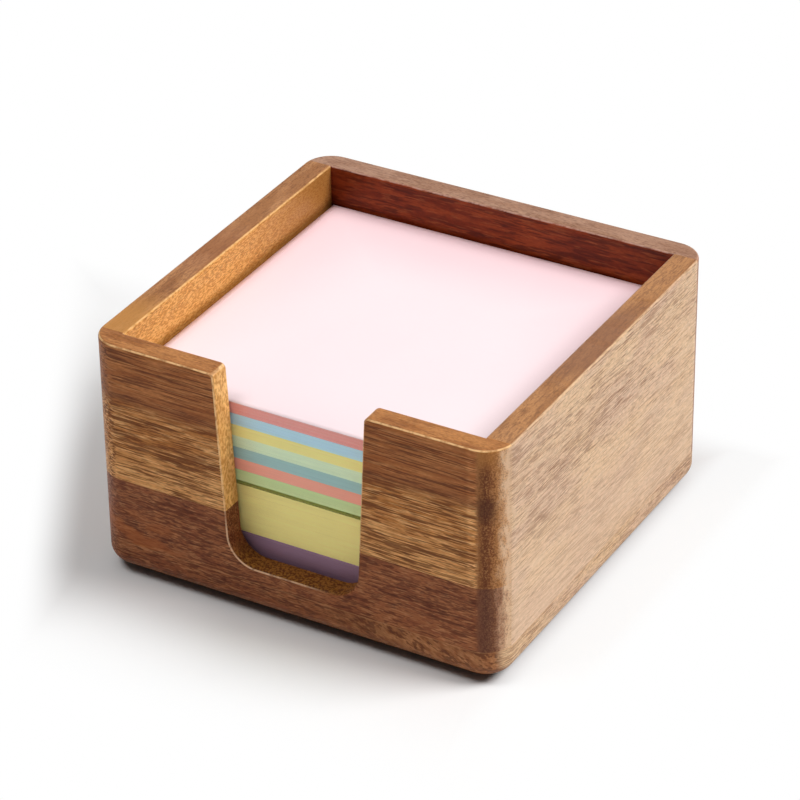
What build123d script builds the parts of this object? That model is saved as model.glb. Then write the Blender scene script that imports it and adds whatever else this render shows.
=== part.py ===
"""Desk holder for square sticky notes.

A low hardwood box stands on four non-slip feet and is open at the top. Its front and back
boards run the full width, and the two side walls stand between them. The front is glued up
from a dark lower board and a light upper board, and a finger notch cuts the upper one into
a left and a right piece. A base panel as wide as the box closes it below. Three note pads
lie on the base panel: a thin purple pad, a thick yellow pad and a pad of seven colours,
whose uppermost sheet peels up from its glued back edge.

Frame: origin on the desk under the middle of the box, X to the right along the front,
Y from the front to the back, Z up. Sizes are in millimetres.
"""

import os

from build123d import *

# Note pads
note_side = 76.2
purple_pad_t = 6.7
yellow_pad_t = 11.8
colour_t = 2.46
sheet_t = 0.1
side_clearance = 0.85
end_clearance = 0.45

# How far each pad has slid towards the back, as a share of its end clearance
purple_slide = 0.1
yellow_slide = 0.65
rainbow_slide = -0.35

# Wooden box
side_wall_t = 5.5
front_wall_t = 5.0
back_wall_t = 5.0
base_t = 6.5
wall_h = 44.3
lower_board_h = 14.3
corner_r = 6.0
base_round_r = 3.5
ease_r = 0.6

# Finger notch in the front wall
notch_rim_w = 32.4
notch_floor_w = 28.0
notch_lip_h = 3.0
notch_floor_r = 6.0
notch_rim_r = 1.2

# Non-slip feet
foot_d = 9.0
foot_h = 1.5
foot_inset = 11.0
foot_ease_r = 0.3

# Sizes that follow from the ones above
well_w = note_side + 2 * side_clearance
well_d = note_side + 2 * end_clearance
box_w = well_w + 2 * side_wall_t
box_d = well_d + front_wall_t + back_wall_t
box_shift_y = (back_wall_t - front_wall_t) / 2
base_top_z = foot_h + base_t
seam_z = base_top_z + lower_board_h
rim_z = base_top_z + wall_h
notch_floor_z = base_top_z + notch_lip_h
front_wall_y = -(well_d + front_wall_t) / 2
back_wall_y = (well_d + back_wall_t) / 2
side_wall_x = (well_w + side_wall_t) / 2
upper_board_h = wall_h - lower_board_h

# The seven colours of the top pad, from the lowest to the highest
colour_names = ("green", "salmon", "teal", "mint", "yellow", "blue", "pink")

# Feet, each with the side of the box and the end of the box that it stands at
foot_places = {
    "front_left_foot": (-1, -1),
    "front_right_foot": (1, -1),
    "back_left_foot": (-1, 1),
    "back_right_foot": (1, 1),
}

os.makedirs("parts", exist_ok=True)


# The four walls as one ring, shaped before it is parted into boards.
with BuildPart() as wall_ring:
    with BuildSketch(Plane.XY.offset(base_top_z)):
        with Locations((0, box_shift_y)):
            RectangleRounded(box_w, box_d, corner_r)
        Rectangle(well_w, well_d, mode=Mode.SUBTRACT)
    extrude(amount=wall_h)

    # The notch narrows a little on its way down and has wide round corners at its floor.
    with BuildSketch(Plane.XZ.offset(-front_wall_y)) as notch_outline:
        with BuildLine():
            Polyline(
                (-notch_rim_w / 2, rim_z),
                (-notch_floor_w / 2, notch_floor_z),
                (notch_floor_w / 2, notch_floor_z),
                (notch_rim_w / 2, rim_z),
                close=True,
            )
        make_face()
        fillet(notch_outline.vertices().group_by(Axis.Y)[0], radius=notch_floor_r)
    extrude(amount=front_wall_t, both=True, mode=Mode.SUBTRACT)

    # Where the notch meets the rim, its two corners are rounded over.
    across_rim = wall_ring.edges().filter_by(Axis.Y).group_by(Axis.Z)[-1]
    fillet(across_rim.sort_by(lambda edge: abs(edge.center().X))[:2], radius=notch_rim_r)

    # The rim and the notch are eased inside and out, but not across the front wall.
    rim_edges = wall_ring.edges().group_by(Axis.Z)[-1]
    across_front = rim_edges.filter_by(Axis.Y).filter_by(lambda edge: edge.center().Y < -well_d / 2)
    notch_edges = wall_ring.edges().filter_by(Axis.Y, reverse=True).filter_by(
        lambda edge: edge.center().Y < 0
        and abs(edge.center().X) < notch_rim_w / 2 + notch_rim_r
        and edge.center().Z > base_top_z + notch_lip_h / 2
    )
    fillet(rim_edges + notch_edges - across_front, radius=ease_r)


# Dark lower board of the front, full width, with the floor of the notch in it.
with BuildPart() as front_lower_board:
    add(wall_ring.part)
    with Locations((0, front_wall_y, base_top_z + lower_board_h / 2)):
        Box(box_w, front_wall_t, lower_board_h, mode=Mode.INTERSECT)

# Light upper board of the front, in two pieces with the notch between them.
with BuildPart() as front_upper_left:
    add(wall_ring.part)
    with Locations((-box_w / 4, front_wall_y, seam_z + upper_board_h / 2)):
        Box(box_w / 2, front_wall_t, upper_board_h, mode=Mode.INTERSECT)

with BuildPart() as front_upper_right:
    add(wall_ring.part)
    with Locations((box_w / 4, front_wall_y, seam_z + upper_board_h / 2)):
        Box(box_w / 2, front_wall_t, upper_board_h, mode=Mode.INTERSECT)

# Back board, full width.
with BuildPart() as back_wall:
    add(wall_ring.part)
    with Locations((0, back_wall_y, base_top_z + wall_h / 2)):
        Box(box_w, back_wall_t, wall_h, mode=Mode.INTERSECT)

# Side walls, between the front and the back.
with BuildPart() as left_wall:
    add(wall_ring.part)
    with Locations((-side_wall_x, 0, base_top_z + wall_h / 2)):
        Box(side_wall_t, well_d, wall_h, mode=Mode.INTERSECT)

with BuildPart() as right_wall:
    add(wall_ring.part)
    with Locations((side_wall_x, 0, base_top_z + wall_h / 2)):
        Box(side_wall_t, well_d, wall_h, mode=Mode.INTERSECT)

# Base panel under all four walls, with its lower edge rounded over.
with BuildPart() as base_panel:
    with BuildSketch(Plane.XY.offset(foot_h)):
        with Locations((0, box_shift_y)):
            RectangleRounded(box_w, box_d, corner_r)
    extrude(amount=base_t)
    fillet(base_panel.faces().sort_by(Axis.Z)[0].edges(), radius=base_round_r)

boards = {
    "front_lower_board": front_lower_board,
    "front_upper_left": front_upper_left,
    "front_upper_right": front_upper_right,
    "back_wall": back_wall,
    "left_wall": left_wall,
    "right_wall": right_wall,
    "base_panel": base_panel,
}
for board_name, board in boards.items():
    board.part.label = board_name
    export_step(board.part, f"parts/{board_name}.step")


# Round feet glued under the base panel, one near each corner.
for foot_name, (side, end) in foot_places.items():
    foot_x = side * (box_w / 2 - foot_inset)
    foot_y = box_shift_y + end * (box_d / 2 - foot_inset)
    with BuildPart() as foot:
        with BuildSketch():
            with Locations((foot_x, foot_y)):
                Circle(foot_d / 2)
        extrude(amount=foot_h)
        fillet(foot.edges().group_by(Axis.Z)[0], radius=foot_ease_r)
    foot.part.label = foot_name
    export_step(foot.part, f"parts/{foot_name}.step")


# The stack of notes, each layer lying on the one before it.
layers = [("purple_pad", purple_pad_t, purple_slide), ("yellow_pad", yellow_pad_t, yellow_slide)]
layers += [(f"rainbow_{colour}", colour_t, rainbow_slide) for colour in colour_names[:-1]]
layers.append((f"rainbow_{colour_names[-1]}", colour_t - sheet_t, rainbow_slide))
layers.append(("top_note", sheet_t, rainbow_slide))

layer_z = base_top_z
for layer_name, layer_t, layer_slide in layers:
    with BuildPart() as layer:
        with BuildSketch(Plane.XY.offset(layer_z)):
            with Locations((0, layer_slide * end_clearance)):
                Rectangle(note_side, note_side)
        extrude(amount=layer_t)
    layer.part.label = layer_name
    export_step(layer.part, f"parts/{layer_name}.step")
    layer_z += layer_t

print(f"box {box_w:.2f} x {box_d:.2f} x {rim_z:.2f}, stack top {layer_z:.2f}")
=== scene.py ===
"""Looks of a wooden desk holder with its stack of square notes.

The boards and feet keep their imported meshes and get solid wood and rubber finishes. The note
pads are modelled sheet by sheet. Everything is in metres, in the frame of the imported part:
X to the right along the front, Y from the front to the back, Z up. Finishes work with places
and sizes in millimetres.
"""

import math
import random

import bmesh
import bpy
from mathutils import Matrix, Vector


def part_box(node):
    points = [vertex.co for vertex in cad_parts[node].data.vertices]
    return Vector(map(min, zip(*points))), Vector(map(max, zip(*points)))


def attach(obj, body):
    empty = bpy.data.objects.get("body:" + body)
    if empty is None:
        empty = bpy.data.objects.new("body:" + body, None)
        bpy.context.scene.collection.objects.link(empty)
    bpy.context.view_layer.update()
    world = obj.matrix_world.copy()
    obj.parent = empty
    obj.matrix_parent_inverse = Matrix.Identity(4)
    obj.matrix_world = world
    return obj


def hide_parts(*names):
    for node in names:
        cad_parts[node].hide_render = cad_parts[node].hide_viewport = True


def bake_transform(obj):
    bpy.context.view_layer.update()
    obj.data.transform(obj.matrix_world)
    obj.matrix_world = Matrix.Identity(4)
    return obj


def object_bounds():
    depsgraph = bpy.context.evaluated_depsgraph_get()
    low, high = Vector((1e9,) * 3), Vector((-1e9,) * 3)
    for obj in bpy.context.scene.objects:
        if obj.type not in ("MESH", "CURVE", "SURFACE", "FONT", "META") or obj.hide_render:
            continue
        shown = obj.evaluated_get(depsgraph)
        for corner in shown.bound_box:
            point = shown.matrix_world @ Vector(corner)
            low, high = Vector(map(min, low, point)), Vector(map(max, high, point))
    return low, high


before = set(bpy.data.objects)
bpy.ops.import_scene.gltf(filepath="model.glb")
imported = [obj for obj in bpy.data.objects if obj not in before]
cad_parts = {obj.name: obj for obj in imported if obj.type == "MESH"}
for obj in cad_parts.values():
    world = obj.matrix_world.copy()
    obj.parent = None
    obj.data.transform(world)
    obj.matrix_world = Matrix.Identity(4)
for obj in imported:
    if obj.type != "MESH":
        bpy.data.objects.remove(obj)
cad_low, cad_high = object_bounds()

MM = 0.001
WHITE = (1.0, 1.0, 1.0, 1.0)

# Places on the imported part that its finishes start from, in millimetres: half the box's width,
# its rim, the top of its base panel and the seam between the front's dark and light boards
half_width = cad_high.x / MM
rim_z = cad_high.z / MM
base_top_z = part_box("base_panel")[1].z / MM
seam_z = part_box("front_lower_board")[1].z / MM


# ---------------------------------------------------------------- colours and node helpers


def srgb(red, green, blue):
    """A colour given as 0 to 255 on a screen, as the linear colour that a shader wants."""

    def linear(value):
        share = value / 255
        return share / 12.92 if share <= 0.04045 else ((share + 0.055) / 1.055) ** 2.4

    return (linear(red), linear(green), linear(blue), 1.0)


class Nodes:
    """A node tree, emptied, and short calls for the nodes that finishes and sky are made of."""

    def __init__(self, tree):
        self.tree = tree
        self.tree.nodes.clear()

    def node(self, kind, options=None, **sockets):
        """A new node. Underscores in a socket's name stand for spaces."""
        made = self.tree.nodes.new("ShaderNode" + kind)
        for option, value in (options or {}).items():
            setattr(made, option, value)
        for socket, value in sockets.items():
            self.feed(made.inputs[socket.replace("_", " ")], value)
        return made

    def feed(self, socket, value):
        """Links another node's output to the socket, or sets the socket to a plain value."""
        if isinstance(value, bpy.types.NodeSocket):
            self.tree.links.new(value, socket)
        elif value is not None:
            socket.default_value = value

    def math(self, operation, first, second=None, third=None):
        made = self.node("Math", {"operation": operation})
        for socket, value in zip(made.inputs, (first, second, third)):
            self.feed(socket, value)
        return made.outputs[0]

    def both(self, first, second):
        """The product of two masks, or of a mask and a strength."""
        return self.math("MULTIPLY", first, second)

    def other(self, value):
        """What a mask leaves out."""
        return self.math("SUBTRACT", 1.0, value)

    def fade(self, value, start, end):
        """0 before start and 1 past end, with a smooth change between them."""
        options = {"interpolation_type": "SMOOTHSTEP"}
        made = self.node("MapRange", options, Value=value, From_Min=start, From_Max=end)
        return made.outputs[0]

    def between(self, value, low, rise, fall, high):
        """1 from rise to fall, and 0 below low and above high."""
        return self.both(self.fade(value, low, rise), self.other(self.fade(value, fall, high)))

    def mix(self, factor, first, second, blend="MIX"):
        made = self.node("Mix", {"data_type": "RGBA", "blend_type": blend})
        self.feed(made.inputs[0], factor)
        self.feed(made.inputs[6], first)
        self.feed(made.inputs[7], second)
        return made.outputs[2]

    def over(self, colour, tone, mask, strength=1.0):
        """The colour with a tone laid over it, where the mask is 1 and as strongly as said."""
        return self.mix(mask if strength == 1.0 else self.both(mask, strength), colour, tone)

    def times(self, colour, factor):
        return self.mix(1.0, colour, factor, "MULTIPLY")

    def ramp(self, value, stops):
        """A colour for each value, from (place, colour) stops."""
        made = self.node("ValToRGB", Fac=value)
        elements = made.color_ramp.elements
        while len(elements) < len(stops):
            elements.new(0.5)
        for element, (place, colour) in zip(elements, stops):
            element.position = place
            element.color = colour
        return made.outputs[0]

    def scaled(self, place, size, seed=0.0):
        """The place as a share of size, (x, y, z) in the same unit, moved by seed."""
        made = self.node("VectorMath", {"operation": "MULTIPLY_ADD"})
        self.feed(made.inputs[0], place)
        made.inputs[1].default_value = tuple(1 / length for length in size)
        made.inputs[2].default_value = (seed, seed * 1.7, seed * 0.6)
        return made.outputs[0]

    def millimetres(self):
        """The place on the object in millimetres."""
        return self.scaled(self.node("TexCoord").outputs["Object"], (MM, MM, MM))

    def apart(self, vector):
        """The three numbers of a vector."""
        return self.node("SeparateXYZ", Vector=vector).outputs[:3]

    def facing(self):
        """The way the surface looks, as three numbers."""
        return self.apart(self.node("TexCoord").outputs["Normal"])

    def noise(self, place, size, detail=2.0, roughness=0.5, seed=0.0):
        """Noise with features of the given size, (x, y, z) in millimetres."""
        scaled = self.scaled(place, size, seed)
        made = self.node("TexNoise", Vector=scaled, Scale=1.0, Detail=detail, Roughness=roughness)
        return made.outputs["Fac"]

    def seen_by_lens(self):
        """1 for rays from the lens, also by way of a gloss, and 0 for other rays."""
        path = self.node("LightPath").outputs
        return self.math("MAXIMUM", path["Is Camera Ray"], path["Is Glossy Ray"])

    def end(self, kind, shader):
        """Links the last shader to an output node of this kind."""
        output = self.node(kind)
        self.tree.links.new(shader.outputs[0], output.inputs["Surface"])


class Finish(Nodes):
    """A material and the calls that only a material needs."""

    def __init__(self, name):
        self.material = bpy.data.materials.new(name)
        self.material.use_nodes = True
        super().__init__(self.material.node_tree)

    def surface(self, colour, roughness, bump_strength, bump_depth, relief, **sockets):
        """The finished material: a colour, a roughness and a relief of the given depth."""
        bump = self.node("Bump", Strength=bump_strength, Distance=bump_depth * MM, Height=relief)
        shader = self.node(
            "BsdfPrincipled",
            Base_Color=colour,
            Roughness=roughness,
            Normal=bump.outputs[0],
            **sockets,
        )
        return self.finish(shader)

    def finish(self, shader):
        self.end("OutputMaterial", shader)
        return self.material


# ---------------------------------------------------------------- wood

# How far the grain wanders sideways, and how fast a side wall's grain runs on around its
# corners, for each millimetre that they lie from the middle
grain_wander = 0.8
corner_pull = 0.02
# Where along X the front's right end starts
right_end_x = (half_width - 14.45, half_width - 10.45)
# How far from the middle the notch's edges with wear and painted highlight, and its cheeks, reach
notch_edge_reach = (18.5, 19.5)
cheek_reach = (17.5, 19.5)
# Where the line of wear and painted highlight along the rim starts, up the rounded edge
rim_line_z = (rim_z - 1.1, rim_z - 0.7)


class Wood(Finish):
    """Oiled hardwood as a solid, coloured by its place and by the way each face looks.

    Sizes of marks are (along the grain, across it, through the board), and a band is the noise
    level at which a mark starts to show and the one at which it shows in full. Marks that have
    another turn lie in other places.
    """

    def __init__(self, name, seed):
        super().__init__(name)
        self.seed = seed
        self.here = self.millimetres()
        self.x, self.y, self.z = self.apart(self.here)
        self.facing_x, self.facing_y, self.facing_z = self.facing()

    def around_side(self):
        """The place along a side wall: the grain follows the surface around its corners."""
        from_side = self.math("SUBTRACT", half_width, self.x)
        turned = self.both(from_side, self.both(self.y, corner_pull))
        return self.math("ADD", self.y, turned), self.z, 0.0

    def grain(self, run, slope=0.0):
        """The place along the grain, across it and through the board, gently wandering.

        run is the grain's direction: X or Y on upright faces, flat on faces that look up, and
        Y side on the outside of a side wall. slope is its fall in degrees.
        """
        runs = {
            "X": (self.x, self.z, self.y),
            "Y": (self.y, self.z, self.x),
            "X flat": (self.x, self.y, self.z),
            "Y flat": (self.y, self.x, self.z),
        }
        along, across, through = self.around_side() if run == "Y side" else runs[run]
        tilted = self.math("MULTIPLY_ADD", along, math.tan(math.radians(slope)), across)
        straight = self.node("CombineXYZ", X=along, Y=tilted, Z=through).outputs[0]
        bends = self.scaled(straight, (50, 14, 14), self.seed)
        drift = self.node("TexNoise", Vector=bends, Scale=1.0, Detail=1.0)
        centred = self.node("VectorMath", {"operation": "SUBTRACT"})
        self.feed(centred.inputs[0], drift.outputs["Color"])
        centred.inputs[1].default_value = (0.5, 0.5, 0.5)
        moved = self.node("VectorMath", {"operation": "MULTIPLY_ADD"})
        self.feed(moved.inputs[0], centred.outputs[0])
        moved.inputs[1].default_value = (0.0, grain_wander, grain_wander)
        self.feed(moved.inputs[2], straight)
        return moved.outputs[0]

    def marks(self, place, size, band, turn, detail=1.0):
        """Marks of this size where the noise passes through the band."""
        return self.fade(self.noise(place, size, detail, seed=self.seed + turn), *band)

    def flecks(self, place, size, band, turn, crowd_size=(20, 2.8, 2.8), crowding=0.5):
        """Short dark marks that come in crowds along the grain."""
        crowd = self.noise(place, crowd_size, 1.0, seed=self.seed + turn + 0.5)
        fleck = self.noise(place, size, 1.0, seed=self.seed + turn)
        level = self.math("MULTIPLY_ADD", self.math("SUBTRACT", crowd, 0.5), crowding, fleck)
        return self.fade(level, *band)

    def pores(self, place, length, width, share, turn):
        """Thin dashes where vessels are cut open, more of them for a larger share."""
        cell_place = self.scaled(place, (length, width, width), self.seed + turn)
        cells = self.node("TexVoronoi", Vector=cell_place, Scale=1.0)
        crowd = self.noise(place, (30, 4, 4), 1.0, seed=self.seed + turn + 0.3)
        reach = self.math("MULTIPLY_ADD", crowd, 0.6, share - 0.3)
        return self.fade(self.math("SUBTRACT", reach, cells.outputs["Distance"]), 0.0, 0.12)

    def gritty(self, colour, place, size, amount, turn):
        """Fine light and dark grit all over, stronger for a larger amount."""
        grit = self.noise(place, size, 1.0, seed=self.seed + turn)
        shade = self.math("MULTIPLY_ADD", grit, amount, 1.0 - amount / 2)
        return self.times(colour, self.node("CombineXYZ", X=shade, Y=shade, Z=shade).outputs[0])

    def worn_and_highlit_edges(self, colour, pale, strength, at_notch=1.0):
        """Thin pale lines along the rounded rim and along the front edges of the notch, partly wear
        and partly painted highlight.

        at_notch is where along the notch's edges they show.
        """
        on_round = self.between(self.facing_z, 0.35, 0.6, 0.8, 0.95)
        rim_line = self.both(on_round, self.fade(self.z, *rim_line_z))
        near_notch = self.other(self.fade(self.math("ABSOLUTE", self.x), *notch_edge_reach))
        ahead = self.between(self.facing_y, -0.95, -0.86, -0.68, -0.48)
        notch_line = self.both(self.both(ahead, near_notch), at_notch)
        wear_and_highlight_breakup = self.noise(self.here, (1.6, 1.6, 1.6), 2.0, 0.6, self.seed + 90)
        uneven = self.math("MULTIPLY_ADD", self.fade(wear_and_highlight_breakup, 0.35, 0.6), 0.7, 0.3)
        # Painted highlight and wear: pale lines where the rounded edges catch the light and the stain
        # has rubbed thin
        lines = self.both(self.math("MAXIMUM", rim_line, notch_line), uneven)
        return self.over(colour, pale, lines, strength)

    def lacquered(self, colour, relief, gloss):
        """A thin satin coat over slightly open grain, a little smoother where it stands up."""
        roughness = self.math("MULTIPLY_ADD", relief, -0.12, 0.44)
        return self.surface(colour, roughness, 0.3, 0.04, relief, Specular_IOR_Level=gloss)


def front_figure(wood, place):
    """Golden ground full of short dark dashes, under a browner strip with fine thin lines."""
    light_near_seam_z = (seam_z + 1.7, seam_z + 10.7)
    strip_z = (rim_z - 11.8, rim_z - 8.3)
    strip_border_z = (rim_z - 12.8, rim_z - 10.3, rim_z - 8.8, rim_z - 6.3)

    mottle = wood.marks(place, (12, 1.6, 1.6), (0.34, 0.66), 1, 2.0)
    golden = wood.mix(mottle, srgb(170, 106, 50), srgb(196, 134, 76))
    near_seam = wood.other(wood.fade(wood.z, *light_near_seam_z))
    golden = wood.over(golden, srgb(218, 158, 96), near_seam, 0.65)
    glints = wood.marks(place, (7, 0.36, 0.36), (0.50, 0.64), 2)
    golden = wood.over(golden, srgb(234, 180, 116), glints, 0.6)
    dashes = wood.flecks(place, (7, 0.36, 0.36), (0.53, 0.60), 3)
    golden = wood.over(golden, srgb(104, 54, 22), dashes, 0.8)
    thin = wood.flecks(place, (4, 0.3, 0.3), (0.55, 0.63), 4)
    golden = wood.over(golden, srgb(96, 48, 20), thin, 0.6)

    brown = wood.mix(mottle, srgb(152, 88, 44), srgb(174, 110, 62))
    soft = wood.marks(place, (16, 0.8, 0.8), (0.44, 0.62), 5, 2.0)
    brown = wood.over(brown, srgb(122, 66, 32), soft, 0.4)
    lines = wood.flecks(place, (11, 0.32, 0.32), (0.54, 0.61), 6, (30, 2.4, 2.4))
    brown = wood.over(brown, srgb(84, 40, 18), lines, 0.7)
    pale_lines = wood.marks(place, (8, 0.4, 0.4), (0.56, 0.68), 7)
    brown = wood.over(brown, srgb(200, 138, 84), pale_lines, 0.45)

    # The strip's lower border waves by a few millimetres
    wavy = wood.math("MULTIPLY_ADD", wood.noise(place, (30, 30, 30), 1.0, seed=9.0), 5.0, wood.z)
    brown = wood.over(brown, srgb(98, 50, 26), wood.between(wavy, *strip_border_z), 0.3)
    colour = wood.over(golden, brown, wood.fade(wavy, *strip_z))
    colour = wood.gritty(colour, place, (1.2, 0.35, 0.35), 0.8, 8)
    return colour, wood.math("SUBTRACT", glints, dashes)


def pale_figure(wood):
    """The right side's tan wood, painted pale as a painted sheen of the light on that side, with fine
    thin dashes and faint greyish clouds.
    """
    place = wood.grain("Y side", 2.0)
    clouds = wood.marks(place, (26, 9, 9), (0.40, 0.64), 21, 2.0)
    colour = wood.mix(clouds, srgb(208, 172, 134), srgb(198, 162, 134))
    streaks = wood.marks(place, (12, 0.7, 0.7), (0.44, 0.62), 22, 2.0)
    colour = wood.over(colour, srgb(214, 181, 144), streaks, 0.5)
    dashes = wood.flecks(place, (5, 0.24, 0.24), (0.54, 0.60), 23, (24, 8, 8), 0.35)
    colour = wood.over(colour, srgb(148, 106, 70), dashes, 0.68)
    vessels = wood.pores(place, 4.4, 0.27, 0.31, 24)
    colour = wood.over(colour, srgb(120, 80, 52), vessels, 0.7)
    colour = wood.gritty(colour, place, (0.9, 0.35, 0.35), 0.7, 25)
    return colour, wood.math("SUBTRACT", streaks, vessels)


def dark_figure(wood, place):
    """Dark reddish brown heartwood with fine dark and light dashes."""
    mottle = wood.marks(place, (9, 2.4, 2.4), (0.36, 0.64), 31, 2.0)
    colour = wood.mix(mottle, srgb(130, 72, 42), srgb(150, 90, 54))
    glints = wood.marks(place, (2.6, 0.4, 0.4), (0.52, 0.66), 32)
    colour = wood.over(colour, srgb(184, 124, 80), glints, 0.5)
    dashes = wood.flecks(place, (3.0, 0.4, 0.4), (0.52, 0.61), 33)
    colour = wood.over(colour, srgb(84, 40, 22), dashes, 0.7)
    thin = wood.flecks(place, (1.5, 0.28, 0.28), (0.55, 0.64), 34)
    colour = wood.over(colour, srgb(70, 34, 22), thin, 0.5)
    colour = wood.gritty(colour, place, (1.0, 0.35, 0.35), 0.9, 35)
    return colour, wood.math("SUBTRACT", glints, dashes)


def brown_figure(wood, place, ground, light_ground, dark):
    """Quiet brown wood with fine pores, for rims and faces that turn away."""
    mottle = wood.marks(place, (12, 3, 3), (0.38, 0.62), 41, 2.0)
    colour = wood.mix(mottle, ground, light_ground)
    dashes = wood.flecks(place, (2.6, 0.4, 0.4), (0.53, 0.63), 42)
    colour = wood.over(colour, dark, dashes, 0.4)
    vessels = wood.pores(place, 1.6, 0.36, 0.30, 43)
    colour = wood.over(colour, dark, vessels, 0.5)
    colour = wood.gritty(colour, place, (0.6, 0.35, 0.35), 0.7, 44)
    return colour, wood.math("SUBTRACT", mottle, vessels)


def turned_corner(wood, colour, tones, glow=0.3):
    """Where the front turns into the right side: dark speckled end grain, then the side's pale colour,
    which is painted sheen.

    tones gives the colour at each share of the turn, from 0 at the front to 1 at the side.
    glow is how strongly bright specks show.
    """
    right = wood.fade(wood.x, *right_end_x)
    ragged = wood.noise(wood.here, (1.3, 1.3, 2.6), 3.0, 0.6, wood.seed + 50)
    turn = wood.both(wood.facing_x, wood.math("MULTIPLY_ADD", ragged, 0.5, 0.75))
    band = wood.ramp(turn, tones)
    dots = wood.noise(wood.here, (0.32, 0.32, 0.32), 2.0, 0.6, wood.seed + 51)
    band = wood.over(band, srgb(70, 34, 16), wood.fade(dots, 0.50, 0.62), 0.4)
    bright = wood.both(wood.fade(dots, 0.5, 0.36), wood.fade(wood.facing_x, 0.2, 0.5))
    band = wood.over(band, srgb(222, 160, 98), bright, glow)
    colour = wood.over(colour, band, wood.both(wood.fade(turn, 0.12, 0.3), right))
    # The pale side is painted sheen; its figure only shows once the corner has turned
    pale, _ = pale_figure(wood)
    side = wood.over(srgb(212, 176, 142), pale, wood.fade(wood.facing_x, 0.93, 1.0))
    return wood.over(colour, side, wood.both(wood.fade(turn, 0.88, 0.98), right))


def cheek_figure(wood):
    """The notch's cheeks: bright golden end grain with fine specks."""
    mottle = wood.marks(wood.here, (0.6, 0.6, 0.9), (0.36, 0.62), 61, 3.0)
    colour = wood.mix(mottle, srgb(204, 144, 76), srgb(252, 200, 126))
    browner = wood.marks(wood.here, (4, 4, 6), (0.45, 0.62), 62, 2.0)
    return wood.over(colour, srgb(186, 120, 56), browner, 0.4)


def striped_wood():
    """The front's light upper boards, with the right corner, the rim and the notch's cheeks."""
    # The palest tones, at the end of the turn, are painted sheen of the light on the right side
    corner_tones = [
        (0.0, srgb(196, 140, 88)),
        (0.30, srgb(148, 94, 52)),
        (0.45, srgb(110, 60, 30)),
        (0.61, srgb(136, 82, 44)),
        (0.745, srgb(170, 116, 70)),
        (0.86, srgb(198, 155, 116)),
        (0.955, srgb(218, 181, 148)),
    ]
    before_corner_x = (half_width - 7.15, half_width - 6.05)
    dark_patch_z = (rim_z - 16.8, rim_z - 13.3, rim_z - 11.8, rim_z - 8.8)
    golden_top_z = (rim_z - 5.3, rim_z - 1.3)

    wood = Wood("striped_wood", 1.0)
    colour, relief = front_figure(wood, wood.grain("X", 0.3))
    # Painted highlight: the front is brighter just before it turns
    painted_highlight = wood.times(colour, (1.3, 1.38, 1.5, 1.0))
    colour = wood.over(colour, painted_highlight, wood.fade(wood.x, *before_corner_x))
    colour = turned_corner(wood, colour, corner_tones)
    # High up on the corner is a darker patch, and the corner's top is golden
    on_round = wood.between(wood.facing_x, 0.1, 0.35, 0.6, 0.85)
    on_corner = wood.both(on_round, wood.fade(wood.x, *right_end_x))
    patch = wood.both(on_corner, wood.between(wood.z, *dark_patch_z))
    colour = wood.over(colour, srgb(70, 34, 22), patch, 0.6)
    top = wood.both(on_corner, wood.fade(wood.z, *golden_top_z))
    colour = wood.over(colour, srgb(196, 130, 66), top, 0.5)

    sideways = wood.fade(wood.math("ABSOLUTE", wood.facing_x), 0.7, 0.9)
    near_notch = wood.other(wood.fade(wood.math("ABSOLUTE", wood.x), *cheek_reach))
    colour = wood.over(colour, cheek_figure(wood), wood.both(sideways, near_notch))
    rim, _ = brown_figure(
        wood, wood.grain("X flat"), srgb(158, 102, 58), srgb(180, 122, 72), srgb(112, 62, 30)
    )
    colour = wood.over(colour, rim, wood.fade(wood.facing_z, 0.6, 0.95))
    # Pale lines of wear and painted highlight along the rounded edges
    colour = wood.worn_and_highlit_edges(colour, srgb(246, 200, 142), 0.9)
    return wood.lacquered(colour, relief, 0.12)


def dark_wood():
    """The front's dark lower board, with the right corner and the floor of the notch."""
    # The palest tones, at the end of the turn, are painted sheen of the light on the right side
    corner_tones = [
        (0.0, srgb(136, 82, 52)),
        (0.30, srgb(116, 70, 48)),
        (0.45, srgb(100, 59, 42)),
        (0.68, srgb(118, 73, 50)),
        (0.80, srgb(162, 118, 90)),
        (0.915, srgb(210, 172, 137)),
        (0.99, srgb(221, 186, 150)),
    ]
    left_end_x = (10.45 - half_width, 24.45 - half_width)
    low_z = (base_top_z + 4.0, base_top_z + 10.0)
    lit_until_x = (0.0, 8.0)

    wood = Wood("dark_wood", 4.0)
    colour, relief = dark_figure(wood, wood.grain("X", 0.3))
    # Golden patches low on the left
    low_left = wood.both(
        wood.other(wood.fade(wood.x, *left_end_x)), wood.other(wood.fade(wood.z, *low_z))
    )
    patches = wood.both(low_left, wood.marks(wood.here, (8, 8, 3), (0.42, 0.60), 62, 2.0))
    colour = wood.over(colour, srgb(176, 98, 48), patches, 0.5)
    colour = turned_corner(wood, colour, corner_tones, 0.12)
    # The notch's floor shows golden brown end grain
    speckle = wood.marks(wood.here, (0.5, 0.5, 0.5), (0.38, 0.62), 63, 3.0)
    notch_floor = wood.mix(speckle, srgb(86, 44, 14), srgb(142, 92, 40))
    colour = wood.over(colour, notch_floor, wood.fade(wood.facing_z, 0.3, 0.9))
    # The notch's lines of wear and painted highlight show only on its left, where its edges face the
    # light
    lit_part = wood.other(wood.fade(wood.x, *lit_until_x))
    colour = wood.worn_and_highlit_edges(colour, srgb(236, 196, 158), 0.8, lit_part)
    return wood.lacquered(colour, relief, 0.12)


def slanted_figure(wood):
    """Golden brown wood with small slanting dashes."""
    place = wood.grain("X", 20.0)
    mottle = wood.marks(place, (2.4, 1.2, 1.2), (0.36, 0.64), 65, 2.0)
    colour = wood.mix(mottle, srgb(138, 84, 48), srgb(178, 120, 76))
    dashes = wood.flecks(place, (1.2, 0.55, 0.55), (0.52, 0.62), 64, (6, 3, 3), 0.7)
    colour = wood.over(colour, srgb(82, 42, 22), dashes, 0.7)
    return wood.gritty(colour, place, (0.8, 0.35, 0.35), 0.9, 66)


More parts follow.
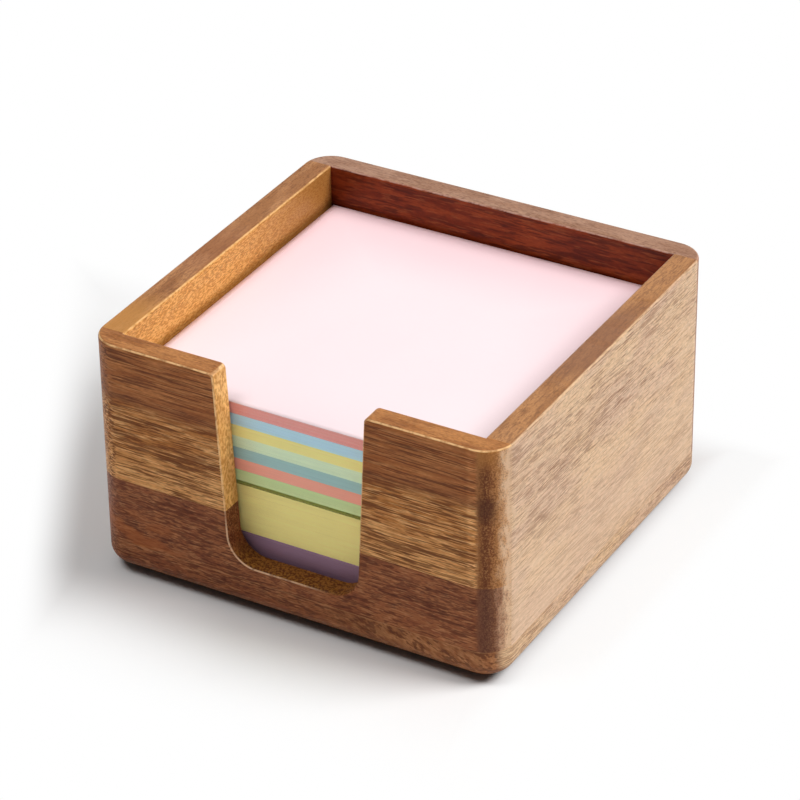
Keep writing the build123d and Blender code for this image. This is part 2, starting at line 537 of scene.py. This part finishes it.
def base_wood():
    """The base panel, with painted shade on its rounded lower edge and darkest painted shade
    underneath.
    """
    slanted_from_x = (0.0, 24.0)
    seam_line_z = (base_top_z - 0.3, base_top_z - 0.1)

    wood = Wood("base_wood", 4.0)
    front, relief = dark_figure(wood, wood.grain("X", 0.3))
    front = wood.over(front, slanted_figure(wood), wood.fade(wood.x, *slanted_from_x), 0.85)
    quiet, _ = brown_figure(
        wood, wood.grain("Y"), srgb(132, 82, 48), srgb(158, 102, 62), srgb(88, 48, 26)
    )
    colour = wood.over(front, quiet, wood.fade(wood.facing_y, -0.5, 0.1))
    # The base's right side is painted pale with painted sheen, like the right wall
    pale, _ = pale_figure(wood)
    colour = wood.over(colour, pale, wood.fade(wood.facing_x, 0.66, 0.92))
    # Painted shade on the faces that look down
    downwards = wood.math("MULTIPLY", wood.facing_z, -1.0)
    colour = wood.over(colour, srgb(120, 72, 36), wood.fade(downwards, 0.15, 0.75), 0.75)
    colour = wood.over(colour, srgb(70, 40, 22), wood.fade(downwards, 0.8, 0.98), 0.7)
    colour = wood.over(colour, srgb(196, 140, 92), wood.fade(wood.z, *seam_line_z), 0.3)
    return wood.lacquered(colour, relief, 0.12)


def golden_wood():
    """The left wall: golden and finely speckled inside, browner outside and on its rim."""
    browner_to_back_y = (-6.0, 38.0)
    shaded_below_z = (rim_z - 8.8, rim_z - 6.3)
    golden_until_y = (-32.0, -20.0)
    reddish_y = (-16.0, -8.0, 2.0, 12.0)

    wood = Wood("golden_wood", 12.0)
    place = wood.grain("Y")
    speckle = wood.marks(place, (0.8, 0.28, 0.28), (0.38, 0.62), 71, 2.0)
    inside = wood.mix(speckle, srgb(202, 134, 58), srgb(240, 180, 100))
    inside = wood.over(inside, srgb(146, 96, 46), wood.fade(wood.y, *browner_to_back_y), 0.76)
    vessels = wood.pores(place, 1.4, 0.28, 0.30, 72)
    inside = wood.over(inside, srgb(126, 72, 24), vessels, 0.5)
    # Painted shade: the inside is darker low down, near the notes
    low = wood.other(wood.fade(wood.z, *shaded_below_z))
    inside = wood.over(inside, srgb(104, 58, 22), low, 0.45)

    rim, relief = brown_figure(
        wood, wood.grain("Y flat"), srgb(154, 102, 60), srgb(178, 124, 78), srgb(110, 64, 34)
    )
    at_front = wood.other(wood.fade(wood.y, *golden_until_y))
    rim = wood.over(rim, srgb(192, 134, 66), at_front, 0.7)
    rim = wood.over(rim, srgb(150, 94, 60), wood.between(wood.y, *reddish_y), 0.4)

    outside, _ = dark_figure(wood, place)
    outside = wood.mix(0.5, outside, srgb(178, 122, 74))
    colour = wood.over(outside, inside, wood.fade(wood.facing_x, -0.5, 0.3))
    colour = wood.over(colour, rim, wood.fade(wood.facing_z, 0.6, 0.95))
    # Pale lines of wear and painted highlight along the rounded edges
    colour = wood.worn_and_highlit_edges(colour, srgb(240, 190, 128), 0.8)
    return wood.lacquered(colour, relief, 0.2)


def pale_wood():
    """The right wall: outside painted pale with painted sheen, paler still low down, and brown inside
    and on its rim.
    """
    paler_below_z = (base_top_z + 6.0, rim_z - 12.3)
    greyish_y = (-18.0, -6.0, 8.0, 22.0)

    wood = Wood("pale_wood", 1.0)
    outside, relief = pale_figure(wood)
    # Painted light: the outside is painted paler low down, making up for the light falling off towards
    # the floor
    low_down = wood.other(wood.fade(wood.z, *paler_below_z))
    outside = wood.over(outside, srgb(222, 188, 154), low_down, 0.4)
    inside, _ = brown_figure(
        wood, wood.grain("Y"), srgb(150, 100, 60), srgb(178, 126, 78), srgb(104, 62, 36)
    )
    rim, _ = brown_figure(
        wood, wood.grain("Y flat"), srgb(156, 106, 64), srgb(178, 126, 80), srgb(108, 66, 40)
    )
    rim = wood.over(rim, srgb(132, 90, 68), wood.between(wood.y, *greyish_y), 0.55)
    colour = wood.over(inside, outside, wood.fade(wood.facing_x, -0.5, 0.3))
    colour = wood.over(colour, rim, wood.fade(wood.facing_z, 0.75, 0.97))
    # Pale lines of wear and painted highlight along the rounded edges
    colour = wood.worn_and_highlit_edges(colour, srgb(226, 188, 146), 0.5)
    return wood.lacquered(colour, relief, 0.25)


def red_brown_wood():
    """The back board: deep red brown inside, with painted shade towards the left corner, and a greyish
    rim.
    """
    shaded_until_x = (4.45 - half_width, 20.45 - half_width)

    wood = Wood("red_brown_wood", 20.0)
    place = wood.grain("X")
    mottle = wood.marks(place, (14, 1.8, 1.8), (0.36, 0.64), 81, 2.0)
    inside = wood.mix(mottle, srgb(118, 42, 16), srgb(150, 64, 28))
    dashes = wood.flecks(place, (5, 0.5, 0.5), (0.52, 0.62), 82)
    inside = wood.over(inside, srgb(76, 22, 8), dashes, 0.65)
    glints = wood.marks(place, (4, 0.5, 0.5), (0.56, 0.68), 83)
    inside = wood.over(inside, srgb(164, 86, 48), glints, 0.5)
    # Painted shade, darker towards the left corner
    shade_to_left = wood.other(wood.fade(wood.x, *shaded_until_x))
    inside = wood.over(inside, srgb(84, 28, 12), shade_to_left, 0.5)
    inside = wood.gritty(inside, place, (1.0, 0.35, 0.35), 0.8, 84)

    outside, _ = dark_figure(wood, place)
    outside = wood.mix(0.4, outside, srgb(172, 116, 70))
    rim, relief = brown_figure(
        wood, wood.grain("X flat"), srgb(156, 116, 92), srgb(172, 132, 108), srgb(112, 72, 52)
    )
    colour = wood.over(inside, outside, wood.fade(wood.facing_y, -0.5, 0.1))
    colour = wood.over(colour, rim, wood.fade(wood.facing_z, 0.6, 0.95))
    # Pale lines of wear and painted highlight along the rounded edges
    colour = wood.worn_and_highlit_edges(colour, srgb(206, 164, 146), 0.7)
    return wood.lacquered(colour, relief, 0.15)


woods = {
    "striped_wood": striped_wood(),
    "dark_wood": dark_wood(),
    "base_wood": base_wood(),
    "golden_wood": golden_wood(),
    "pale_wood": pale_wood(),
    "red_brown_wood": red_brown_wood(),
}


# ---------------------------------------------------------------- paper and rubber

note_low, note_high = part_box("top_note")
sheet_t = 0.1 * MM


def matt_paper(finish, place, colour):
    """Soft fibres and faint clouds on the colour."""
    fibres = finish.noise(place, (0.6, 0.6, 0.6), 4.0, 0.6, 1.0)
    clouds = finish.noise(place, (18, 18, 18), seed=2.0)
    shade = finish.math("MULTIPLY_ADD", clouds, 0.04, 0.97)
    shade = finish.math("MULTIPLY_ADD", fibres, 0.03, shade)
    return finish.surface(finish.times(colour, shade), 0.75, 0.3, 0.02, fibres)


def stacked_paper(name, face_colour, edge_colour):
    """A block of paper: plain on its faces, with faint lines of stacked sheets on its edges."""
    finish = Finish(name)
    place = finish.millimetres()
    flat = finish.fade(finish.math("ABSOLUTE", finish.facing()[2]), 0.5, 0.9)
    sheets = finish.noise(place, (40, 40, 0.35), 2.0, 0.6, 3.0)
    uneven = finish.noise(place, (5, 5, 1.2), seed=4.0)
    lines = finish.math("MULTIPLY_ADD", sheets, 0.16, 0.86)
    lines = finish.math("MULTIPLY_ADD", uneven, 0.12, lines)
    colour = finish.over(edge_colour, face_colour, flat)
    colour = finish.times(colour, finish.mix(flat, lines, WHITE))
    return matt_paper(finish, place, colour)


def single_sheet(name, middle, rim):
    """One loose sheet, with painted shade that makes it pinker towards its rim, most of all along its
    glued back edge.

    It is placed by the sheet's own flat coordinates, so it keeps its look when the sheet bends.
    """
    painted_shade_from = (16.0, 50.0)
    side = (note_high.x - note_low.x) / MM

    finish = Finish(name)
    flat = finish.node("VectorMath", {"operation": "MULTIPLY_ADD"})
    finish.feed(flat.inputs[0], finish.node("TexCoord").outputs["UV"])
    flat.inputs[1].default_value = (side, side, 0.0)
    flat.inputs[2].default_value = (-side / 2, -side / 2, 0.0)
    place = flat.outputs[0]
    across, along, _ = finish.apart(place)
    # Painted shade: pinker towards the rim, most of all towards the back
    out = finish.math("MAXIMUM", finish.math("ABSOLUTE", across), finish.math("ABSOLUTE", along))
    out_and_back = finish.math("MULTIPLY_ADD", along, 0.25, out)
    return matt_paper(finish, place, finish.over(middle, rim, finish.fade(out_and_back, *painted_shade_from)))


# For each paper, the colour of its faces and that of its stacked edges
paper_tones = {
    "purple_paper": (srgb(150, 120, 160), srgb(160, 126, 148)),
    "thick_yellow_paper": (srgb(246, 232, 168), srgb(255, 240, 152)),
    "green_paper": (srgb(205, 235, 180), srgb(212, 230, 166)),
    "salmon_paper": (srgb(245, 190, 175), srgb(255, 176, 154)),
    "teal_paper": (srgb(160, 210, 210), srgb(170, 208, 206)),
    "mint_paper": (srgb(200, 240, 215), srgb(230, 250, 212)),
    "yellow_paper": (srgb(250, 235, 160), srgb(255, 246, 158)),
    "blue_paper": (srgb(175, 220, 240), srgb(200, 238, 254)),
    "pink_paper": (srgb(246, 224, 228), srgb(250, 170, 162)),
}
papers = {name: stacked_paper(name, face, edge) for name, (face, edge) in paper_tones.items()}
papers["note_paper"] = single_sheet("note_paper", srgb(244, 228, 231), srgb(242, 208, 213))


def rubber(name):
    """Dark non-slip foot with a fine moulded grain."""
    finish = Finish(name)
    grain = finish.noise(finish.millimetres(), (0.25, 0.25, 0.25), 3.0, 0.6, 4.0)
    colour = finish.ramp(grain, [(0.3, srgb(26, 24, 24)), (0.7, srgb(48, 45, 44))])
    return finish.surface(colour, 0.8, 0.5, 0.05, grain)


finishes = {**woods, **papers, "foot_rubber": rubber("foot_rubber")}


def dress(node, slot_name):
    """Gives a carried-over CAD node its finish."""
    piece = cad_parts[node]
    for material_slot in piece.material_slots:
        material_slot.material = finishes[slot_name]


board_slots = {
    "base_panel": "base_wood",
    "front_lower_board": "dark_wood",
    "front_upper_left": "striped_wood",
    "front_upper_right": "striped_wood",
    "left_wall": "golden_wood",
    "right_wall": "pale_wood",
    "back_wall": "red_brown_wood",
}
for board, slot_name in board_slots.items():
    dress(board, slot_name)
for foot in ("front_left_foot", "front_right_foot", "back_left_foot", "back_right_foot"):
    dress(foot, "foot_rubber")


# ---------------------------------------------------------------- pads and the top note


def object_from(mesh, name, material):
    data = bpy.data.meshes.new(name)
    mesh.to_mesh(data)
    mesh.free()
    data.materials.append(material)
    piece = bpy.data.objects.new(name, data)
    bpy.context.scene.collection.objects.link(piece)
    return piece


def pad(node, body, slot_name, seed, set_back=()):
    """A block of loose sheets: each sheet's four edges lie a hair further in or out.

    set_back gives how far the front edges of the uppermost sheets lie back, lowest first.
    """
    loose = 0.03 * MM
    low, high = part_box(node)
    count = round((high.z - low.z) / sheet_t)
    draw = random.Random(seed)
    mesh = bmesh.new()
    rings = []
    for index in range(count):
        left, right, front, back = (loose * draw.random() for _ in range(4))
        from_top = index - (count - len(set_back))
        if from_top >= 0:
            front = set_back[from_top] * MM
        corners = [
            (low.x + left, low.y + front),
            (high.x - right, low.y + front),
            (high.x - right, high.y - back),
            (low.x + left, high.y - back),
        ]
        for z in (low.z + index * sheet_t, low.z + (index + 1) * sheet_t):
            rings.append([mesh.verts.new((x, y, min(z, high.z))) for x, y in corners])
    for under, over in zip(rings, rings[1:]):
        for corner in range(4):
            after = (corner + 1) % 4
            mesh.faces.new((under[corner], under[after], over[after], over[corner]))
    mesh.faces.new(rings[0][::-1])
    mesh.faces.new(rings[-1])
    piece = object_from(mesh, f"{node}_sheets", finishes[slot_name])
    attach(piece, body)
    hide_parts(node)


# The body and the paper of each pad's blocks, from the lowest to the highest
pad_slots = {
    "purple_pad": ("purple_pad", "purple_paper"),
    "yellow_pad": ("yellow_pad", "thick_yellow_paper"),
    "rainbow_green": ("rainbow_pad", "green_paper"),
    "rainbow_salmon": ("rainbow_pad", "salmon_paper"),
    "rainbow_teal": ("rainbow_pad", "teal_paper"),
    "rainbow_mint": ("rainbow_pad", "mint_paper"),
    "rainbow_yellow": ("rainbow_pad", "yellow_paper"),
    "rainbow_blue": ("rainbow_pad", "blue_paper"),
    "rainbow_pink": ("rainbow_pad", "pink_paper"),
}
# The yellow pad's uppermost sheets lie back, which leaves a dark line under the next pad
yellow_set_back = (0.4, 1.4, 2.2, 2.7, 3.0, 3.2, 3.4, 3.5, 3.6, 3.6, 3.6, 3.6)
for seed, (node, (body, slot_name)) in enumerate(pad_slots.items()):
    pad(node, body, slot_name, seed, yellow_set_back if node == "yellow_pad" else ())


def top_note():
    """The uppermost sheet, fine enough to bend where it lifts off its glued edge."""
    cells = 60
    low, high = note_low, note_high
    width, depth = high.x - low.x, high.y - low.y
    mesh = bmesh.new()
    bmesh.ops.create_grid(mesh, x_segments=cells, y_segments=cells, size=0.5)
    for vertex in mesh.verts:
        vertex.co.x = low.x + (vertex.co.x + 0.5) * width
        vertex.co.y = low.y + (vertex.co.y + 0.5) * depth
        vertex.co.z = high.z
    skin = bmesh.ops.extrude_face_region(mesh, geom=mesh.faces[:])
    for item in skin["geom"]:
        if isinstance(item, bmesh.types.BMVert):
            item.co.z = low.z
    bmesh.ops.recalc_face_normals(mesh, faces=mesh.faces[:])
    flat = mesh.loops.layers.uv.new("flat")
    for face in mesh.faces:
        # The sheet's two faces are shaded smoothly, so that its bend is, and its edges aren't
        face.smooth = abs(face.normal.z) > 0.5
        for corner in face.loops:
            place = corner.vert.co
            corner[flat].uv = ((place.x - low.x) / width, (place.y - low.y) / depth)
    piece = object_from(mesh, "top_note_sheet", finishes["note_paper"])
    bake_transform(piece)
    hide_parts("top_note")


top_note()


# ---------------------------------------------------------------- floor, light and camera


# The sky's level at the horizon and overhead, and how much light the floor gives back to the
# box and to the lens
sky_low = 0.02
sky_high = 0.08
floor_bounce = 1.0
floor_seen = 0.9

# Each lamp's place and side in metres, and its power
lamps = {
    "key": ((0.85, 0.33, 1.05), 0.65, 16.6),
    "overhead": ((0.0, 0.05, 1.0), 0.9, 2.0),
    "front": ((-0.36, -0.45, 1.15), 0.45, 4.9),
}
lamp_target = Vector((0, 0, 0.03))


def away_from_box(finish):
    """0 on the floor where the box's shadow is seen, rising to 1 where the floor is plain white."""
    # Distances from the middle of the box over which the floor turns white, in millimetres
    to_front = (46.0, 80.0)
    close_right = (40.0, 47.0)
    far_right = (44.0, 60.0)
    to_back = (44.0, 60.0)
    shadow_end = (64.0, 76.0)
    # The shadow on the left ends along a line that runs away from the camera, square to this
    shadow_x, shadow_y = -0.866, -0.5

    x, y, _ = finish.apart(finish.millimetres())
    leftward = finish.math("MULTIPLY_ADD", y, shadow_y, finish.math("MULTIPLY", x, shadow_x))
    most = finish.math("MULTIPLY", finish.fade(x, *close_right), 0.75)
    shares = (
        finish.fade(finish.math("MULTIPLY", y, -1.0), *to_front),
        finish.fade(x, *far_right),
        finish.fade(y, *to_back),
        finish.fade(leftward, *shadow_end),
    )
    for share in shares:
        most = finish.math("MAXIMUM", most, share)
    return most


def floor():
    """A pale floor that keeps the box's shadow and is plain white to the lens further out."""
    reach = 3.0
    finish = Finish("studio_floor")
    through = finish.node("LightPath").outputs["Is Transmission Ray"]
    seen = finish.math("MAXIMUM", finish.seen_by_lens(), through)
    bounced = (floor_bounce, floor_bounce, floor_bounce, 1.0)
    direct = (floor_seen, floor_seen, floor_seen, 1.0)
    shaded = finish.node("BsdfDiffuse", Color=finish.mix(seen, bounced, direct))
    white = finish.node("Emission", Strength=1.0)
    shader = finish.node("MixShader", Fac=finish.both(seen, away_from_box(finish)))
    finish.tree.links.new(shaded.outputs[0], shader.inputs[1])
    finish.tree.links.new(white.outputs[0], shader.inputs[2])
    mesh = bmesh.new()
    bmesh.ops.create_grid(mesh, x_segments=1, y_segments=1, size=reach)
    object_from(mesh, "studio_floor", finish.finish(shader))


def sky():
    """White light from above that fades towards the horizon; the lens sees it as plain white."""
    world = bpy.data.worlds.new("studio")
    world.use_nodes = True
    bpy.context.scene.world = world
    nodes = Nodes(world.node_tree)
    height = nodes.apart(nodes.node("TexCoord").outputs["Generated"])[2]
    lit = nodes.node("MapRange", Value=height, To_Min=sky_low, To_Max=sky_high).outputs[0]
    level = nodes.math("MAXIMUM", lit, nodes.seen_by_lens())
    nodes.end("OutputWorld", nodes.node("Background", Strength=level))


def softbox(name, place, side, power):
    lamp = bpy.data.lights.new(name, "AREA")
    lamp.size = side
    lamp.energy = power
    stand = bpy.data.objects.new(name, lamp)
    bpy.context.scene.collection.objects.link(stand)
    stand.location = place
    stand.rotation_euler = (lamp_target - Vector(place)).to_track_quat("-Z", "Y").to_euler()


def camera():
    """The photograph's view: from the right of the front and above, through a long lens."""
    place = Vector((306.960, -533.455, 404.362)) * MM
    target = Vector((-1.149, 0.133, 27.627)) * MM
    roll = math.radians(-0.833)
    view = bpy.data.cameras.new("camera")
    view.sensor_width = 36.0
    view.lens = 165.31
    eye = bpy.data.objects.new("camera", view)
    bpy.context.scene.collection.objects.link(eye)
    turn = (target - place).to_track_quat("-Z", "Y").to_matrix().to_4x4()
    eye.matrix_world = Matrix.Translation(place) @ turn @ Matrix.Rotation(roll, 4, "Z")
    bpy.context.scene.camera = eye


floor()
sky()
for name, (place, side, power) in lamps.items():
    softbox(name, place, side, power)
camera()
bpy.context.scene.view_settings.view_transform = "Standard"
